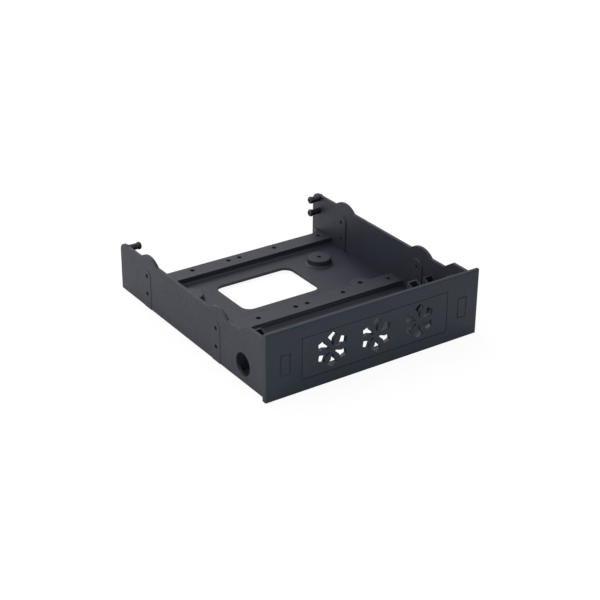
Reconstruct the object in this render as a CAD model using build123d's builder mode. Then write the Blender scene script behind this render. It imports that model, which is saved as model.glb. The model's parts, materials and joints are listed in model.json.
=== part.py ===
from build123d import *
import os

os.makedirs("parts", exist_ok=True)

# Frame: X to the right, Y to the rear, Z up. The origin lies on the centre line,
# in the plane where the front bezel meets the tray, at the underside of the tray.

# Bay and drive standards
body_w = 146.0
bezel_overhang = 1.0
side_pitch_y = 79.25
side_pitch_z = 11.84
drive25_pitch_x = 61.72
drive25_pitch_y = 76.6
drive35_pitch_x = 95.25
drive35_pitch_y = 44.45
drive35_w = 101.6
bezel_w = body_w + 2 * bezel_overhang

# Side walls and floor
wall_t = 2.0
floor_t = 2.0
wall_h = 31.2
cheek_h = 36.6
cheek_l = 17.3
ramp_l = 7.9
hump_h = 3.9
hump_r = 14.4
hump_lead = 2.0
hump_blend_r = 2.0
cheek_blend_r = 8.0
ramp_blend_r = 1.5
rear_corner_r = 5.0
inner_x = body_w / 2 - wall_t

# Side screw holes
side_front_y = 49.2
side_low_z = 9.46
side_hole_r = 1.3
side_rear_y = side_front_y + side_pitch_y
side_high_z = side_low_z + side_pitch_z
side_ys = (side_front_y, side_rear_y)
outer_pad_r = 4.2
outer_pad_t = 0.3
inner_pad_r = 5.0
inner_pad_t = 0.6

# Cross bars that carry the drives
bar_top_z = 6.2
bar_shell = 2.0
bar_w = 12.5
front_bar_margin = 5.3
rear_bar_margin = 4.9
drive25_front_y = 70.5
drive25_gap_x = 4.17
drive25_hole_r = 1.5
drive25_rear_y = drive25_front_y + drive25_pitch_y
drive25_far_x = drive25_gap_x + drive25_pitch_x
drive25_mid_x = drive25_pitch_x / 2
front_bar_y1 = drive25_front_y + front_bar_margin
front_bar_y0 = front_bar_y1 - bar_w
rear_bar_y1 = drive25_rear_y + rear_bar_margin
rear_bar_y0 = rear_bar_y1 - bar_w
drive35_front_y = 75.4
drive35_front_hole_r = 1.65
drive35_rear_hole_r = 1.35
drive35_x = drive35_pitch_x / 2
drive35_rear_y = drive35_front_y + drive35_pitch_y
bar_lobe_r = 6.4
boss_r = 7.7
boss_chamfer = 0.5
bar_rib_t = 1.6
bar_rib_xs = (17.0, 39.5, 57.0)
bar_mid_ys = ((front_bar_y0 + front_bar_y1) / 2, (rear_bar_y0 + rear_bar_y1) / 2)
tail_l = 9.5
tail_setback = 1.2
body_l = rear_bar_y1 + tail_l
rear_gusset_r = tail_l - tail_setback

# Floor openings
opening_half_x = 27.6
main_open_r = 6.0
main_open_front_gap = 13.2
main_open_rear_gap = 13.0
front_open_r = 2.0
front_open_y0 = 11.0
front_open_gap = 11.3
main_open_y0 = front_bar_y1 + main_open_front_gap
main_open_y1 = rear_bar_y0 - main_open_rear_gap
front_open_y1 = front_bar_y0 - front_open_gap

# Cable hole in each side wall near the front
cable_hole_y = 21.1
cable_hole_z = 11.2
cable_hole_r = 7.0

# Hollow square posts in the front corners
post_top_z = 22.0
post_y0 = 28.6
post_y1 = 35.0
post_w = 7.3
post_shell = 0.9
post_pitch_x = 12.0
post_outer_x0 = inner_x - post_w
post_inner_x0 = post_outer_x0 - post_pitch_x

# Rear guide pins and the boss round the upper one
pin_r = 2.0
pin_head_r = 2.4
pin_head_l = 2.4
pin_l = 8.0
pin_inset = 7.3
pin_top_gap = 2.0
pin_pitch_z = 9.1
pin_boss_r = 2.5
pin_chamfer = 0.6
pin_bore_r = 0.9
pin_bore_depth = 1.2
spigot_r = 1.2
spigot_l = 1.6
spigot_clearance = 0.02
pin_y = body_l - pin_inset
pin_high_z = wall_h - pin_top_gap
pin_low_z = pin_high_z - pin_pitch_z
pin_tip_x = inner_x - pin_l
pin_zs = (pin_low_z, pin_high_z)

# Front bezel
bezel_t = 4.05
bezel_z0 = -1.54
bezel_z1 = 40.6
bezel_skin = 2.3
bezel_edge_r = 1.2
bezel_low_rim = 3.6
bezel_top_rim = 2.0
bezel_back_chamfer = 1.4
bay_open_z0 = bar_top_z
bay_open_h = 26.0
bay_open_w = drive35_w
collar_t = 1.5
bezel_rib_t = 1.2
bezel_rib_xs = (15.0, 45.0, 65.0)
pocket_z0 = bezel_z0 + bezel_low_rim
pocket_z1 = bezel_z1 - bezel_top_rim
pocket_mid_z = (pocket_z0 + pocket_z1) / 2
tongue_t = 1.4
tongue_l = 12.0
tongue_z0 = 4.0
tongue_z1 = 28.0
tongue_clearance = 0.1
tongue_root = 0.1
pocket_half_x = inner_x - tongue_clearance - tongue_t - tongue_root
prong_inset = 10.8
prong_x = inner_x - prong_inset
prong_w = 4.0
prong_z = 33.9
prong_t = 1.3
prong_l = 7.6
prong_tip_z = 36.3
plaque_inset = 12.3
plaque_x = bezel_w / 2 - plaque_inset
plaque_z = 19.1
plaque_w = 6.8
plaque_h = 13.4
plaque_line = 0.8
plaque_depth = 0.4

# Vented blanking plate
plate_gap = 0.3
plate_t = 2.7
plate_rim_t = 1.0
plate_rim_back = 0.6
clip_w = 9.0
clip_t = 1.2
clip_reach = 4.0
vent_pitch = 30.3
petal_count = 6
petal_root_r = 2.4
petal_root_half_w = 0.35
petal_neck_r = 6.0
petal_neck_half_w = 1.15
petal_wide_r = 8.5
petal_half_w = 3.4
petal_outer_r = 11.1
petal_round = 0.5
plate_w = bay_open_w - 2 * plate_gap
plate_h = bay_open_h - 2 * plate_gap
bay_mid_z = bay_open_z0 + bay_open_h / 2


# Tray: floor between the side walls, with cross bars, bosses, gussets and corner posts
with BuildPart() as tray:
    with BuildSketch():
        with Locations((0, rear_bar_y1 / 2)):
            Rectangle(2 * inner_x, rear_bar_y1)
        for y0, y1, r in (
            (main_open_y0, main_open_y1, main_open_r),
            (front_open_y0, front_open_y1, front_open_r),
        ):
            with Locations((0, (y0 + y1) / 2)):
                RectangleRounded(2 * opening_half_x, y1 - y0, r, mode=Mode.SUBTRACT)
    extrude(amount=floor_t)

    # Raised bars with a lobe around each outer hole, and two round bosses
    with BuildSketch():
        for y0, y1 in ((front_bar_y0, front_bar_y1), (rear_bar_y0, rear_bar_y1)):
            with Locations((0, (y0 + y1) / 2)):
                Rectangle(2 * inner_x, y1 - y0)
        with Locations((-drive35_x, drive35_front_y), (drive35_x, drive35_front_y)):
            Circle(bar_lobe_r)
    extrude(amount=bar_top_z)
    with BuildSketch():
        with Locations((-drive35_x, drive35_rear_y), (drive35_x, drive35_rear_y)):
            Circle(boss_r)
    extrude(amount=bar_top_z)
    top_rings = tray.edges().filter_by(GeomType.CIRCLE).group_by(Axis.Z)[-1]
    boss_rings = top_rings.filter_by(lambda e: e.arc_center.Y > drive35_rear_y - 1)
    chamfer(boss_rings, length=boss_chamfer)

    # Gussets that carry the rear bar into the ends of the side walls
    with BuildSketch():
        for side in (-1, 1):
            with Locations((side * (inner_x - rear_gusset_r / 2), rear_bar_y1 + rear_gusset_r / 2)):
                Rectangle(rear_gusset_r, rear_gusset_r)
        for side in (-1, 1):
            with Locations((side * (inner_x - rear_gusset_r), rear_bar_y1 + rear_gusset_r)):
                Circle(rear_gusset_r, mode=Mode.SUBTRACT)
    extrude(amount=bar_top_z)

    # Hollow square posts in the two front corners, open at the top
    with BuildSketch(Plane.XY.offset(floor_t)):
        for side in (-1, 1):
            for x0 in (post_inner_x0, post_outer_x0):
                with Locations((side * (x0 + post_w / 2), (post_y0 + post_y1) / 2)):
                    Rectangle(post_w, post_y1 - post_y0)
    extrude(amount=post_top_z - floor_t)
    with BuildSketch(Plane.XY.offset(floor_t)):
        for side in (-1, 1):
            for x0 in (post_inner_x0, post_outer_x0):
                with Locations((side * (x0 + post_w / 2), (post_y0 + post_y1) / 2)):
                    Rectangle(post_w - 2 * post_shell, post_y1 - post_y0 - 2 * post_shell)
    extrude(amount=post_top_z, mode=Mode.SUBTRACT)

    # The bars and bosses are hollow from below, with cross ribs between the holes
    with BuildSketch():
        for y0, y1 in ((front_bar_y0, front_bar_y1), (rear_bar_y0, rear_bar_y1)):
            with Locations((0, (y0 + y1) / 2)):
                Rectangle(2 * (inner_x - bar_shell), y1 - y0 - 2 * bar_shell)
        with Locations((-drive35_x, drive35_front_y), (drive35_x, drive35_front_y)):
            Circle(bar_lobe_r - bar_shell)
        with Locations((-drive35_x, drive35_rear_y), (drive35_x, drive35_rear_y)):
            Circle(boss_r - bar_shell)
        with Locations(*[(side * x, y) for side in (-1, 1) for x in bar_rib_xs for y in bar_mid_ys]):
            Rectangle(bar_rib_t, bar_w, mode=Mode.SUBTRACT)
    extrude(amount=bar_top_z - bar_shell, mode=Mode.SUBTRACT)

    # Screw holes through the bars and bosses
    with Locations(
        *[
            (side * x, y, 0)
            for side in (-1, 1)
            for x in (drive25_gap_x, drive25_mid_x, drive25_far_x)
            for y in (drive25_front_y, drive25_rear_y)
        ]
    ):
        Cylinder(drive25_hole_r, 4 * bar_top_z, mode=Mode.SUBTRACT)
    with Locations((-drive35_x, drive35_front_y, 0), (drive35_x, drive35_front_y, 0)):
        Cylinder(drive35_front_hole_r, 4 * bar_top_z, mode=Mode.SUBTRACT)
    with Locations((-drive35_x, drive35_rear_y, 0), (drive35_x, drive35_rear_y, 0)):
        Cylinder(drive35_rear_hole_r, 4 * bar_top_z, mode=Mode.SUBTRACT)
tray.part.label = "tray"
export_step(tray.part, "parts/tray.step")


# Outline of a side wall: two humps over the screw holes, a raised cheek at the front and
# a small bump where the boss of the upper pin comes through the top edge
with BuildSketch() as wall_outline:
    with BuildLine():
        Polyline(
            (0, 0),
            (0, cheek_h),
            (cheek_l, cheek_h),
            (cheek_l + ramp_l, wall_h),
            (body_l, wall_h),
            (body_l, 0),
            close=True,
        )
    make_face()
    with Locations(*[(y - hump_lead, wall_h + hump_h - hump_r) for y in side_ys]):
        Circle(hump_r)
    level = wall_outline.vertices().filter_by(lambda v: abs(v.Y - wall_h) < 0.01).sort_by(Axis.X)
    head = wall_outline.vertices().filter_by(lambda v: abs(v.Y - cheek_h) < 0.01).sort_by(Axis.X)
    fillet(level[-1], radius=rear_corner_r)
    fillet(level[1:-1], radius=hump_blend_r)
    fillet(level[0], radius=ramp_blend_r)
    fillet(head[-1], radius=cheek_blend_r)
    with Locations((pin_y, pin_high_z)):
        Circle(pin_boss_r)

# Side walls: one moulding with the tray, each with its pads and holes
for wall_name, side in (("side_wall_left", -1), ("side_wall_right", 1)):
    with BuildPart() as side_wall:
        with BuildSketch(Plane.YZ.offset(side * inner_x)):
            add(wall_outline.sketch)
        extrude(amount=side * wall_t)

        # Raised pads around the screw holes: low ones outside, thicker ones above the floor inside
        for x0, r, t, z0 in (
            (body_w / 2, outer_pad_r, outer_pad_t, 0),
            (inner_x, inner_pad_r, -inner_pad_t, floor_t),
        ):
            with BuildSketch(Plane.YZ.offset(side * x0)):
                for y in side_ys:
                    with Locations((y, side_high_z)):
                        Circle(r)
                    with Locations((y, (side_high_z + z0) / 2)):
                        Rectangle(2 * r, side_high_z - z0)
            extrude(amount=side * t)

        # Screw holes, cable hole and pin seats
        with BuildSketch(Plane.YZ.offset(side * (body_w / 2 + wall_t))):
            with Locations(*[(y, z) for y in side_ys for z in (side_low_z, side_high_z)]):
                Circle(side_hole_r)
            with Locations((cable_hole_y, cable_hole_z)):
                Circle(cable_hole_r)
        extrude(amount=-side * 3 * wall_t, mode=Mode.SUBTRACT)
        with BuildSketch(Plane.YZ.offset(side * inner_x)):
            with Locations(*[(pin_y, z) for z in pin_zs]):
                Circle(spigot_r + spigot_clearance)
        extrude(amount=side * (spigot_l + spigot_clearance), mode=Mode.SUBTRACT)
    side_wall.part.label = wall_name
    export_step(side_wall.part, "parts/" + wall_name + ".step")


# Rear guide pins: a shank with a thicker, dimpled head and a spigot seated in the wall
for pin_name, side, z in (
    ("pin_right_upper", 1, pin_high_z),
    ("pin_right_lower", 1, pin_low_z),
    ("pin_left_upper", -1, pin_high_z),
    ("pin_left_lower", -1, pin_low_z),
):
    with BuildPart() as pin:
        with BuildSketch(Plane.YZ.offset(side * pin_tip_x)):
            with Locations((pin_y, z)):
                Circle(pin_head_r)
        extrude(amount=side * pin_head_l)
        chamfer(pin.edges().filter_by(GeomType.CIRCLE), length=pin_chamfer)
        with BuildSketch(Plane.YZ.offset(side * inner_x)):
            with Locations((pin_y, z)):
                Circle(pin_r)
        extrude(amount=-side * (pin_l - pin_head_l / 2))
        with BuildSketch(Plane.YZ.offset(side * pin_tip_x)):
            with Locations((pin_y, z)):
                Circle(pin_bore_r)
        extrude(amount=side * pin_bore_depth, mode=Mode.SUBTRACT)
        with BuildSketch(Plane.YZ.offset(side * inner_x)):
            with Locations((pin_y, z)):
                Circle(spigot_r)
        extrude(amount=side * spigot_l)
    pin.part.label = pin_name
    export_step(pin.part, "parts/" + pin_name + ".step")


# Front bezel: a hollow-backed plate with the 3.5 inch opening
with BuildPart() as front_bezel:
    with BuildSketch(Plane.XZ):
        with Locations((0, (bezel_z0 + bezel_z1) / 2)):
            Rectangle(bezel_w, bezel_z1 - bezel_z0)
    extrude(amount=bezel_t)
    front_face = front_bezel.faces().sort_by(Axis.Y)[0]
    fillet(front_face.edges(), radius=bezel_edge_r)
    back_top = front_bezel.faces().sort_by(Axis.Y)[-1].edges().sort_by(Axis.Z)[-1]
    chamfer(back_top, length=bezel_back_chamfer)

    # Opening for the 3.5 inch device, with a collar round it at the back
    with BuildSketch(Plane.XZ):
        with Locations((0, bay_mid_z)):
            Rectangle(bay_open_w, bay_open_h)
    extrude(amount=bezel_t, mode=Mode.SUBTRACT)
    with BuildSketch(Plane.XZ):
        with Locations((0, pocket_mid_z)):
            Rectangle(2 * pocket_half_x, pocket_z1 - pocket_z0)
        with Locations((0, bay_mid_z)):
            Rectangle(bay_open_w + 2 * collar_t, bay_open_h + 2 * collar_t, mode=Mode.SUBTRACT)
        with Locations(*[(side * x, pocket_mid_z) for side in (-1, 1) for x in bezel_rib_xs]):
            Rectangle(bezel_rib_t, pocket_z1 - pocket_z0, mode=Mode.SUBTRACT)
    extrude(amount=bezel_t - bezel_skin, mode=Mode.SUBTRACT)

    # Tongues that slide between the side walls
    with BuildSketch(Plane.XZ):
        for side in (-1, 1):
            x = inner_x - tongue_clearance - tongue_t / 2
            with Locations((side * x, (tongue_z0 + tongue_z1) / 2)):
                Rectangle(tongue_t, tongue_z1 - tongue_z0)
    extrude(amount=-tongue_l)

    # Prongs with a raised tip behind the upper edge
    for side in (-1, 1):
        with BuildSketch(Plane.YZ.offset(side * prong_x)):
            with BuildLine():
                Polyline(
                    (bezel_skin - bezel_t, prong_z),
                    (prong_l, prong_z),
                    (prong_l, prong_z + prong_t),
                    (prong_l - prong_t, prong_tip_z),
                    (prong_l - 2 * prong_t, prong_z + prong_t),
                    (bezel_skin - bezel_t, prong_z + prong_t),
                    close=True,
                )
            make_face()
        extrude(amount=prong_w / 2, both=True)

    # Plain recessed frames near the two ends
    with BuildSketch(Plane.XZ.offset(bezel_t)):
        with Locations((-plaque_x, plaque_z), (plaque_x, plaque_z)):
            Rectangle(plaque_w, plaque_h)
            Rectangle(plaque_w - 2 * plaque_line, plaque_h - 2 * plaque_line, mode=Mode.SUBTRACT)
    extrude(amount=-plaque_depth, mode=Mode.SUBTRACT)
front_bezel.part.label = "front_bezel"
export_step(front_bezel.part, "parts/front_bezel.step")


# Petal of a vent: a narrow stem that widens to an arrowhead
with BuildSketch() as petal:
    with BuildLine():
        Polyline(
            (petal_root_r, 0),
            (petal_root_r, petal_root_half_w),
            (petal_neck_r, petal_neck_half_w),
            (petal_wide_r, petal_half_w),
            (petal_outer_r, 0),
        )
        mirror(about=Plane.XZ)
    make_face()
    fillet(petal.vertices().sort_by(Axis.X)[-3:], radius=petal_round)

# Blanking plate of the 3.5 inch opening, with three vents of six petals each
with BuildPart() as blanking_plate:
    with BuildSketch(Plane.XZ.offset(bezel_t)):
        with Locations((0, bay_mid_z)):
            Rectangle(plate_w, plate_h)
    extrude(amount=-plate_t)

    # Rim that stiffens the plate inside the opening
    with BuildSketch(Plane.XZ.offset(bezel_t - plate_t)):
        with Locations((0, bay_mid_z)):
            Rectangle(plate_w, plate_h)
            Rectangle(plate_w - 2 * plate_rim_t, plate_h - 2 * plate_rim_t, mode=Mode.SUBTRACT)
    extrude(amount=-(bezel_t - plate_t - plate_rim_back))

    # A flat clip leaf at each end, reaching back through the opening
    with BuildSketch(Plane.XZ.offset(bezel_t - plate_t)):
        with Locations(*[(side * (plate_w - clip_t) / 2, bay_mid_z) for side in (-1, 1)]):
            Rectangle(clip_t, clip_w)
    extrude(amount=-(bezel_t - plate_t + clip_reach))

    with BuildSketch(Plane.XZ.offset(bezel_t)):
        with Locations((-vent_pitch, bay_mid_z), (0, bay_mid_z), (vent_pitch, bay_mid_z)):
            with PolarLocations(0, petal_count, start_angle=180 / petal_count):
                add(petal.sketch)
    extrude(amount=-plate_t, mode=Mode.SUBTRACT)
blanking_plate.part.label = "blanking_plate"
export_step(blanking_plate.part, "parts/blanking_plate.step")
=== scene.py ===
import json
import math

import bmesh
import bpy
from mathutils import Matrix, Vector


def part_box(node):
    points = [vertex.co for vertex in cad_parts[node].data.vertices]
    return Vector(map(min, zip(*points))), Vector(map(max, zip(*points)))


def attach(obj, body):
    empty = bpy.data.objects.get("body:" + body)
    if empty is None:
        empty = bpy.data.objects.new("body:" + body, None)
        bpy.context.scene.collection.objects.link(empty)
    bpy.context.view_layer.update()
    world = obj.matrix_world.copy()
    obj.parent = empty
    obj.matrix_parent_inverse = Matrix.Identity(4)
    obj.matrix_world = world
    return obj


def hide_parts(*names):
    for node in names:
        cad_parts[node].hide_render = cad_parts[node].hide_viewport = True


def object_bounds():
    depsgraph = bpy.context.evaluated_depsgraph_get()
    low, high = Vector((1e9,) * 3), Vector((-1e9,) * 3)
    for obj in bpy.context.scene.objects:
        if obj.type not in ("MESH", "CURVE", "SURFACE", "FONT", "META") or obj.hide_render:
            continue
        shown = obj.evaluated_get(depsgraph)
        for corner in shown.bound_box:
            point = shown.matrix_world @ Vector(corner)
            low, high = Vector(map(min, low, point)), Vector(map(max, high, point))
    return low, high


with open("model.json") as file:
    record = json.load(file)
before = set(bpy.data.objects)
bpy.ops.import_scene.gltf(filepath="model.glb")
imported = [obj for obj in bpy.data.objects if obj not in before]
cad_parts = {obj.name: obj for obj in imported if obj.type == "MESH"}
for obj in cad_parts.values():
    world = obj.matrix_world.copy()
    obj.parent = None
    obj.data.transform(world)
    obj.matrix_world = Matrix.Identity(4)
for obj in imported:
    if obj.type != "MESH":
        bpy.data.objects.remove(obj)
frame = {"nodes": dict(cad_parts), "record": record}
cad_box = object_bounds()

MM = 0.001


def new_object(name, data):
    """An object that holds the data, linked to the scene."""
    obj = bpy.data.objects.new(name, data)
    bpy.context.scene.collection.objects.link(obj)
    return obj


# Camera: solved from the standard hole spacings, so the frame is the photograph's
CAMERA_AZIMUTH = math.radians(34.53)
CAMERA_ELEVATION = math.radians(27.14)
CAMERA_ROLL = math.radians(0.54)
CAMERA_TARGET = Vector((42.83, 134.46, -30.09)) * MM
CAMERA_DISTANCE = 979.44 * MM
LENS_MM = 89.17
SENSOR_MM = 36
NEAREST_SEEN = 0.01
FARTHEST_SEEN = 50


def camera():
    az, el, roll = CAMERA_AZIMUTH, CAMERA_ELEVATION, CAMERA_ROLL
    fwd = Vector((math.sin(az) * math.cos(el), math.cos(az) * math.cos(el), -math.sin(el)))
    right = Vector((math.cos(az), -math.sin(az), 0))
    up = right.cross(fwd)
    x_axis = right * math.cos(roll) + up * math.sin(roll)
    y_axis = up * math.cos(roll) - right * math.sin(roll)
    data = bpy.data.cameras.new("camera")
    data.lens = LENS_MM
    data.sensor_width = SENSOR_MM
    data.clip_start = NEAREST_SEEN
    data.clip_end = FARTHEST_SEEN
    cam = new_object("camera", data)
    place = Matrix((x_axis, y_axis, -fwd)).transposed().to_4x4()
    place.translation = CAMERA_TARGET - fwd * CAMERA_DISTANCE
    cam.matrix_world = place
    bpy.context.scene.camera = cam


camera()
bpy.context.scene.view_settings.view_transform = "Standard"


# Materials
def new_material(name):
    mat = bpy.data.materials.new(name)
    mat.use_nodes = True
    nodes = mat.node_tree.nodes
    nodes.clear()
    return mat, nodes, mat.node_tree.links


def add(nodes, kind, values):
    """A new shader node with the named inputs set."""
    node = nodes.new(kind)
    for name, value in values.items():
        node.inputs[name].default_value = value
    return node


def add_ramp(nodes, low, high):
    """A colour ramp between two stops of (position, colour)."""
    ramp = nodes.new("ShaderNodeValToRGB")
    for stop, (position, colour) in zip(ramp.color_ramp.elements, (low, high)):
        stop.position = position
        stop.color = (*colour, 1)
    return ramp


# Scales of the plastic's noises are counts per metre
CLOUD_SCALE = 38
CLOUD_DETAIL = 4
CLOUD_BREAKUP = 0.6
CLOUD_CONTRAST = 0.12
SPECK_SCALE = 900
SPECK_DETAIL = 3
GLOSS_CONTRAST = 0.06
GRAIN_SCALE = 2600
GRAIN_DEPTH = 0.04 * MM

# The noises mostly stay in this range
NOISE_LOW, NOISE_HIGH = 0.3, 0.7

# Pointiness is 0.5 on a flat face and rises on convex edges
# The painted edge highlight starts and is full at these pointiness values
EDGE_START, EDGE_FULL = 0.52, 0.62
BLACK = (0, 0, 0)
WHITE = (1, 1, 1)


def plastic(name, colour, edge_highlight_colour, roughness, grain, specular):
    """Moulded plastic: cloudy colour, fine spark-eroded grain, and convex edges given a painted
    highlight that makes them a little paler.
    """
    mat, nodes, links = new_material(name)
    out = nodes.new("ShaderNodeOutputMaterial")
    shader = add(nodes, "ShaderNodeBsdfPrincipled", {"Specular IOR Level": specular})
    links.new(shader.outputs["BSDF"], out.inputs["Surface"])
    place = nodes.new("ShaderNodeTexCoord")

    cloud_look = {"Scale": CLOUD_SCALE, "Detail": CLOUD_DETAIL, "Roughness": CLOUD_BREAKUP}
    cloud = add(nodes, "ShaderNodeTexNoise", cloud_look)
    links.new(place.outputs["Object"], cloud.inputs["Vector"])
    darker = [c * (1 - CLOUD_CONTRAST) for c in colour]
    lighter = [c * (1 + CLOUD_CONTRAST) for c in colour]
    tint = add_ramp(nodes, (NOISE_LOW, darker), (NOISE_HIGH, lighter))
    links.new(cloud.outputs["Fac"], tint.inputs["Fac"])

    # Convex edges get a painted highlight: their colour is mixed towards a paler one, standing in
    # for light caught on the edges
    geo = nodes.new("ShaderNodeNewGeometry")
    edge = add_ramp(nodes, (EDGE_START, BLACK), (EDGE_FULL, WHITE))
    links.new(geo.outputs["Pointiness"], edge.inputs["Fac"])
    painted_edge_highlight = nodes.new("ShaderNodeMix")
    painted_edge_highlight.data_type = "RGBA"
    painted_edge_highlight.inputs["B"].default_value = (*edge_highlight_colour, 1)
    links.new(tint.outputs["Color"], painted_edge_highlight.inputs["A"])
    links.new(edge.outputs["Color"], painted_edge_highlight.inputs["Factor"])
    links.new(painted_edge_highlight.outputs["Result"], shader.inputs["Base Color"])

    speck = add(nodes, "ShaderNodeTexNoise", {"Scale": SPECK_SCALE, "Detail": SPECK_DETAIL})
    links.new(place.outputs["Object"], speck.inputs["Vector"])
    gloss_range = {
        "From Min": NOISE_LOW,
        "From Max": NOISE_HIGH,
        "To Min": roughness - GLOSS_CONTRAST,
        "To Max": roughness + GLOSS_CONTRAST,
    }
    gloss = add(nodes, "ShaderNodeMapRange", gloss_range)
    links.new(speck.outputs["Fac"], gloss.inputs["Value"])
    links.new(gloss.outputs["Result"], shader.inputs["Roughness"])

    cells = add(nodes, "ShaderNodeTexVoronoi", {"Scale": GRAIN_SCALE})
    links.new(place.outputs["Object"], cells.inputs["Vector"])
    height = nodes.new("ShaderNodeMath")
    height.operation = "ADD"
    links.new(cells.outputs["Distance"], height.inputs[0])
    links.new(speck.outputs["Fac"], height.inputs[1])
    bump = add(nodes, "ShaderNodeBump", {"Strength": grain, "Distance": GRAIN_DEPTH})
    links.new(height.outputs["Value"], bump.inputs["Height"])
    links.new(bump.outputs["Normal"], shader.inputs["Normal"])
    return mat


# Each finish's edge colour is a painted highlight for its convex edges, a little paler than its
# body colour
tray_mat = plastic(
    "tray_plastic_finish",
    colour=(0.019, 0.022, 0.035),
    edge_highlight_colour=(0.024, 0.027, 0.040),
    roughness=0.51,
    grain=0.4,
    specular=0.41,
)
bezel_mat = plastic(
    "bezel_plastic_finish",
    colour=(0.010, 0.018, 0.030),
    edge_highlight_colour=(0.013, 0.021, 0.033),
    roughness=0.50,
    grain=0.4,
    specular=0.41,
)
plate_mat = plastic(
    "plate_plastic_finish",
    colour=(0.011, 0.019, 0.031),
    edge_highlight_colour=(0.014, 0.022, 0.034),
    roughness=0.50,
    grain=0.4,
    specular=0.41,
)
pin_mat = plastic(
    "pin_plastic_finish",
    colour=(0.010, 0.012, 0.015),
    edge_highlight_colour=(0.012, 0.014, 0.017),
    roughness=0.40,
    grain=0.2,
    specular=0.42,
)


# Pieces: each is a mesh with smooth faces and sharp creases that rides on a CAD body
CREASE_ANGLE = math.radians(40)


def moulding(name, bm, mat, body):
    for face in bm.faces:
        face.smooth = True
    mesh = bpy.data.meshes.new(name)
    bm.to_mesh(mesh)
    bm.free()
    mesh.materials.append(mat)
    mesh.set_sharp_from_angle(angle=CREASE_ANGLE)
    piece = new_object(name, mesh)
    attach(piece, body)
    return piece


# The real tray and its walls are one moulding, so edges where the nodes meet stay sharp and shut
seam_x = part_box("tray")[1].x
FLOOR_TOP = 2.0 * MM
SEAM_TOLERANCE = 0.01 * MM


def on_seam(vert, node):
    """Whether a vertex lies where the tray's floor and a wall meet."""
    past_seam = abs(vert.co.x) - seam_x
    if node == "tray":
        return abs(past_seam) < SEAM_TOLERANCE
    if node.startswith("side_wall"):
        foot = abs(past_seam) < SEAM_TOLERANCE and vert.co.z < SEAM_TOLERANCE
        at_floor_top = abs(vert.co.z - FLOOR_TOP) < SEAM_TOLERANCE
        return foot or (past_seam < SEAM_TOLERANCE and at_floor_top)
    return False


# The corner posts alone reach this high on the tray. Their thin rims slope down to the front
POST_RIM_Z = 17.0 * MM
POST_RIM_RADIUS = 0.35 * MM
POST_RIM_STEPS = 3
POST_BACK_Y = 35.0 * MM
POST_SLOPE = 0.40


def slope_post_rims(bm):
    for vert in bm.verts:
        if vert.co.z > POST_RIM_Z:
            vert.co.z -= (POST_BACK_Y - vert.co.y) * POST_SLOPE


def is_post_rim(edge, node):
    return node == "tray" and all(v.co.z > POST_RIM_Z for v in edge.verts)


# The edges round the bezel's opening and inside its plain frames are finer than the rest
bezel_front_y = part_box("front_bezel")[0].y
FACE_TOLERANCE = 0.05 * MM
BEZEL_MIDDLE_X = 65.0 * MM
FINE_RADIUS = 0.08 * MM
FINE_STEPS = 1


def is_fine(edge, node):
    return node == "front_bezel" and all(
        v.co.y < bezel_front_y + FACE_TOLERANCE and abs(v.co.x) < BEZEL_MIDDLE_X
        for v in edge.verts
    )


# Edges: each CAD solid is shown by a copy whose sharp edges carry the small mould radius
SHARP_ANGLE = math.radians(32)
FLAT_ANGLE = math.radians(0.6)
WELD_DISTANCE = 0.002 * MM
ROUND_PROFILE = 0.5
FACE_WEIGHT = 100


def is_sharp(edge, node):
    return (
        len(edge.link_faces) == 2
        and edge.calc_face_angle(0) > SHARP_ANGLE
        and not all(on_seam(v, node) for v in edge.verts)
    )


def round_off(bm, edges, radius, steps):
    edges = [e for e in edges if e.is_valid]
    if edges:
        bmesh.ops.bevel(
            bm,
            geom=edges,
            offset=radius,
            offset_type="OFFSET",
            segments=steps,
            profile=ROUND_PROFILE,
            affect="EDGES",
            clamp_overlap=False,
        )


def softened(node, radius, steps, mat, body):
    bm = bmesh.new()
    bm.from_mesh(frame["nodes"][node].data)
    bmesh.ops.remove_doubles(bm, verts=bm.verts, dist=WELD_DISTANCE)
    if node == "tray":
        slope_post_rims(bm)
    bmesh.ops.dissolve_limit(
        bm, angle_limit=FLAT_ANGLE, verts=bm.verts, edges=bm.edges, delimit={"NORMAL"}
    )
    sharp = [e for e in bm.edges if is_sharp(e, node)]
    rims = [e for e in sharp if is_post_rim(e, node)]
    fine = [e for e in sharp if is_fine(e, node)]
    rest = [e for e in sharp if not is_post_rim(e, node) and not is_fine(e, node)]
    round_off(bm, rest, radius, steps)
    round_off(bm, rims, POST_RIM_RADIUS, POST_RIM_STEPS)
    round_off(bm, fine, FINE_RADIUS, FINE_STEPS)

    piece = moulding(node + "_soft_edges", bm, mat, body)
    even = piece.modifiers.new("even", "WEIGHTED_NORMAL")
    even.weight = FACE_WEIGHT
    even.keep_sharp = True
    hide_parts(node)


TRAY_EDGE = 0.22 * MM
BEZEL_EDGE = 0.25 * MM
PLATE_EDGE = 0.08 * MM
PIN_EDGE = 0.10 * MM
MOULD_STEPS = 2
PIN_STEPS = 1

for part in ("tray", "side_wall_left", "side_wall_right"):
    softened(part, TRAY_EDGE, MOULD_STEPS, tray_mat, "tray_body")
softened("front_bezel", BEZEL_EDGE, MOULD_STEPS, bezel_mat, "bezel_body")
softened("blanking_plate", PLATE_EDGE, MOULD_STEPS, plate_mat, "plate_body")
for side in ("right", "left"):
    for level in ("upper", "lower"):
        pin = f"pin_{side}_{level}"
        softened(pin, PIN_EDGE, PIN_STEPS, pin_mat, "tray_body")


# Coves: the small fillets that run along the feet of the cross bars and round the bosses.
# Their hidden sides sink by the overlap into the floor and into what they lean on
COVE_OVERLAP = 0.3 * MM
COVE_STEPS = 8
FRONT_BAR_Y = 63.3 * MM
FRONT_BAR_COVE_R = 2.2 * MM
REAR_BAR_Y = 139.5 * MM
REAR_BAR_COVE_R = 1.5 * MM
BOSS_R = 7.7 * MM
BOSS_COVE_R = 1.2 * MM
RING_STEPS = 72


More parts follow.
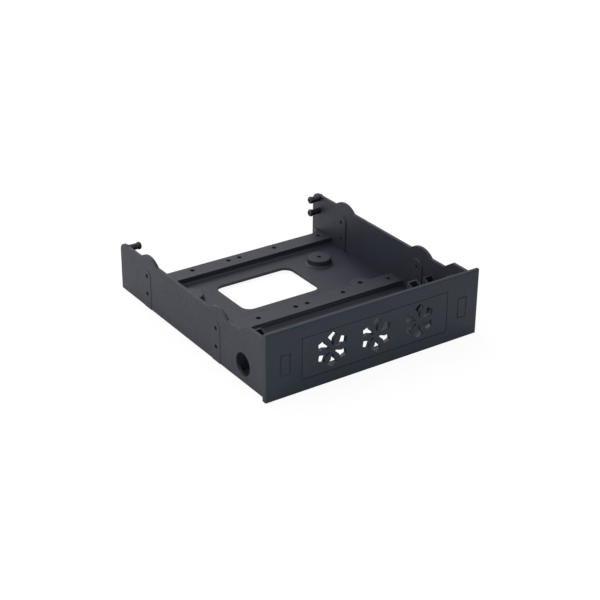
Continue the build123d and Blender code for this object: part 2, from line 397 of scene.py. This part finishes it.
def cove_profile(radius):
    """Points of (distance from the foot, height over the floor) round a concave fillet."""
    points = [(-COVE_OVERLAP, -COVE_OVERLAP), (-COVE_OVERLAP, radius)]
    for i in range(COVE_STEPS + 1):
        turn = math.pi / 2 * i / COVE_STEPS
        points.append((radius * (1 - math.cos(turn)), radius * (1 - math.sin(turn))))
    points.append((radius, -COVE_OVERLAP))
    return points


def cove(name, stations, radius, closed):
    """Sweeps a concave fillet along stations of (foot point, outward direction)."""
    profile = cove_profile(radius)
    bm = bmesh.new()
    rows = []
    for (x, y), (out_x, out_y) in stations:
        rows.append(
            [bm.verts.new((x + out_x * d, y + out_y * d, FLOOR_TOP + h)) for d, h in profile]
        )
    count = len(profile)
    following_rows = rows[1:] + rows[:1] if closed else rows[1:]
    for row, following in zip(rows, following_rows):
        for i in range(count):
            j = (i + 1) % count
            bm.faces.new((row[i], row[j], following[j], following[i]))
    if not closed:
        bm.faces.new(rows[0])
        bm.faces.new(reversed(rows[-1]))
    bmesh.ops.recalc_face_normals(bm, faces=bm.faces)
    moulding(name, bm, tray_mat, "tray_body")


def bar_cove(name, bar_y, radius):
    stations = [((x, bar_y), (0, -1)) for x in (-seam_x, seam_x)]
    cove(name, stations, radius, closed=False)


def boss_cove(name, boss_x, boss_y):
    turns = [2 * math.pi * i / RING_STEPS for i in range(RING_STEPS)]
    ways = [(math.cos(t), math.sin(t)) for t in turns]
    stations = [((boss_x + cx * BOSS_R, boss_y + cy * BOSS_R), (cx, cy)) for cx, cy in ways]
    cove(name, stations, BOSS_COVE_R, closed=True)


bar_cove("front_bar_cove", FRONT_BAR_Y, FRONT_BAR_COVE_R)
bar_cove("rear_bar_cove", REAR_BAR_Y, REAR_BAR_COVE_R)

# The bosses hold the rear pair of 3.5 inch drive holes
boss_pair = next(m for m in frame["record"]["mounts"] if m["name"] == "drive35_rear_pair")
boss_mid_x, boss_mid_y, _ = boss_pair["pos_m"]
boss_reach = boss_pair["dims"]["spacing_x_mm"] / 2 * MM
boss_cove("boss_cove_left", boss_mid_x - boss_reach, boss_mid_y)
boss_cove("boss_cove_right", boss_mid_x + boss_reach, boss_mid_y)


# Floor: a wide card. To the camera it is mostly glow, which makes it white, and the rest is
# diffuse, which keeps the part's faint shadow. Its half side is in metres
CARD_COLOUR = (0.86, 0.86, 0.86)
CARD_GLOW = 1.04
CARD_GLOW_SHARE = 0.88
CARD_HALF = 6.0


def white_card():
    mat, nodes, links = new_material("floor_white")
    out = nodes.new("ShaderNodeOutputMaterial")
    diffuse = add(nodes, "ShaderNodeBsdfDiffuse", {"Color": (*CARD_COLOUR, 1)})
    glow = add(nodes, "ShaderNodeEmission", {"Color": (*WHITE, 1), "Strength": CARD_GLOW})
    path = nodes.new("ShaderNodeLightPath")
    seen = nodes.new("ShaderNodeMath")
    seen.operation = "MAXIMUM"
    links.new(path.outputs["Is Camera Ray"], seen.inputs[0])
    links.new(path.outputs["Is Transmission Ray"], seen.inputs[1])
    share = nodes.new("ShaderNodeMath")
    share.operation = "MULTIPLY"
    share.inputs[1].default_value = CARD_GLOW_SHARE
    links.new(seen.outputs["Value"], share.inputs[0])
    mix = nodes.new("ShaderNodeMixShader")
    links.new(share.outputs["Value"], mix.inputs["Fac"])
    links.new(diffuse.outputs["BSDF"], mix.inputs[1])
    links.new(glow.outputs["Emission"], mix.inputs[2])
    links.new(mix.outputs["Shader"], out.inputs["Surface"])
    return mat


def white_floor():
    z = cad_box[0][2]
    corners = [(x * CARD_HALF, y * CARD_HALF, z) for x, y in ((-1, -1), (1, -1), (1, 1), (-1, 1))]
    mesh = bpy.data.meshes.new("floor")
    mesh.from_pydata(corners, [], [(0, 1, 2, 3)])
    mesh.materials.append(white_card())
    new_object("floor", mesh)


white_floor()


# World: white to the camera, a cooler and dimmer room to the object
ROOM_COLOUR = (0.945, 0.965, 1.0)
ROOM_STRENGTH = 0.70


def studio():
    world = bpy.data.worlds.new("studio")
    bpy.context.scene.world = world
    world.use_nodes = True
    nodes = world.node_tree.nodes
    links = world.node_tree.links
    nodes.clear()
    out = nodes.new("ShaderNodeOutputWorld")
    room_look = {"Color": (*ROOM_COLOUR, 1), "Strength": ROOM_STRENGTH}
    room = add(nodes, "ShaderNodeBackground", room_look)
    white = add(nodes, "ShaderNodeBackground", {"Color": (*WHITE, 1), "Strength": 1.0})
    path = nodes.new("ShaderNodeLightPath")
    mix = nodes.new("ShaderNodeMixShader")
    links.new(path.outputs["Is Camera Ray"], mix.inputs["Fac"])
    links.new(room.outputs["Background"], mix.inputs[1])
    links.new(white.outputs["Background"], mix.inputs[2])
    links.new(mix.outputs["Shader"], out.inputs["Surface"])


studio()


# Lamps: three broad warm squares, above, to the left of and behind the part, all aimed at it
WARM = (1.0, 0.96, 0.93)
LAMP_AIM = Vector((0, 0.08, 0.01))


def lamp(name, place, width, watts):
    data = bpy.data.lights.new(name, "AREA")
    data.shape = "SQUARE"
    data.size = width
    data.energy = watts
    data.color = WARM
    obj = new_object(name, data)
    obj.location = place
    obj.rotation_euler = (LAMP_AIM - Vector(place)).to_track_quat("-Z", "Y").to_euler()


lamp("top", place=(-0.15, 0.45, 1.5), width=1.2, watts=4)
lamp("left", place=(-1.4, 0.6, 1.0), width=0.9, watts=8)
lamp("back", place=(0.15, 1.5, 1.25), width=0.9, watts=9)
